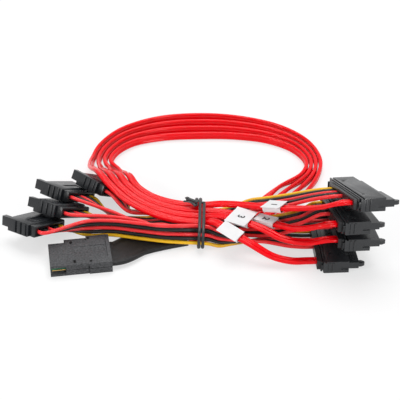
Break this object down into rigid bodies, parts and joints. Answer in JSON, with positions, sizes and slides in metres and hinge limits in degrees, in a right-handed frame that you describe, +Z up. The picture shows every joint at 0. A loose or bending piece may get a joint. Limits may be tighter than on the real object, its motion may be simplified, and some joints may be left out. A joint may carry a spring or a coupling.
{
  "type": "mini sas breakout cable",
  "caption": "Breakout lead: flat host plug with sleeved ribbon, wide drive plugs and narrow power plugs joined by flat red data cables in a loop and coloured wires, with labels and a tie.",
  "frame": {"origin": "middle of the footprint, on the surface that the lead lies on", "axes": "+X along the lead from the host plug to the drive plugs, +Y towards the back of the loop, +Z up"},
  "size_m": [0.2114, 0.1628, 0.05],
  "materials": {
    "host_plastic": "fine matt grain, charcoal",
    "card_green": "lacquered board, green",
    "leaf_steel": "brushed strip",
    "drive_plug_plastic": "satin moulded, near black",
    "drive_cover_plastic": "satin moulded, near black",
    "power_plug_plastic": "satin moulded, near black",
    "power_cap_plastic": "smooth moulded, black",
    "sleeve_black": "fine braid, black",
    "data_cable_red": "glossy extruded jacket, red",
    "wire_red": "satin extruded jacket, red",
    "wire_black": "satin extruded jacket, black",
    "wire_yellow": "satin extruded jacket, yellow",
    "label_white": "matt film, white",
    "tie_black": "plastic ribbon over wire, black"
  },
  "bodies": {
    "root": {"host_plug_upper": "host_plastic", "host_plug_lower": "host_plastic", "host_plug_card": "card_green", "host_plug_leaf": "leaf_steel", "drive_plug_1_housing": "drive_plug_plastic", "drive_plug_1_cover": "drive_cover_plastic", "drive_plug_2_housing": "drive_plug_plastic", "drive_plug_2_cover": "drive_cover_plastic", "drive_plug_3_housing": "drive_plug_plastic", "drive_plug_3_cover": "drive_cover_plastic", "drive_plug_4_housing": "drive_plug_plastic", "drive_plug_4_cover": "drive_cover_plastic", "power_plug_1_housing": "power_plug_plastic", "power_plug_1_cap": "power_cap_plastic", "power_plug_2_housing": "power_plug_plastic", "power_plug_2_cap": "power_cap_plastic", "power_plug_3_housing": "power_plug_plastic", "power_plug_3_cap": "power_cap_plastic", "power_plug_4_housing": "power_plug_plastic", "power_plug_4_cap": "power_cap_plastic", "ribbon_sleeve": "sleeve_black", "data_cable_1": "data_cable_red", "data_cable_2": "data_cable_red", "data_cable_3": "data_cable_red", "data_cable_4": "data_cable_red", "wire_1_1_red": "wire_red", "wire_1_2_black": "wire_black", "wire_1_3_red": "wire_red", "wire_1_4_black": "wire_black", "wire_1_5_yellow": "wire_yellow", "wire_2_1_red": "wire_red", "wire_2_2_black": "wire_black", "wire_2_3_red": "wire_red", "wire_2_4_black": "wire_black", "wire_2_5_yellow": "wire_yellow", "wire_3_1_red": "wire_red", "wire_3_2_black": "wire_black", "wire_3_3_red": "wire_red", "wire_3_4_black": "wire_black", "wire_3_5_yellow": "wire_yellow", "wire_4_1_red": "wire_red", "wire_4_2_black": "wire_black", "wire_4_3_red": "wire_red", "wire_4_4_black": "wire_black", "wire_4_5_yellow": "wire_yellow", "label_1": "label_white", "label_2": "label_white", "label_3": "label_white", "label_4": "label_white", "twist_tie": "tie_black"}
  },
  "joints": []
}
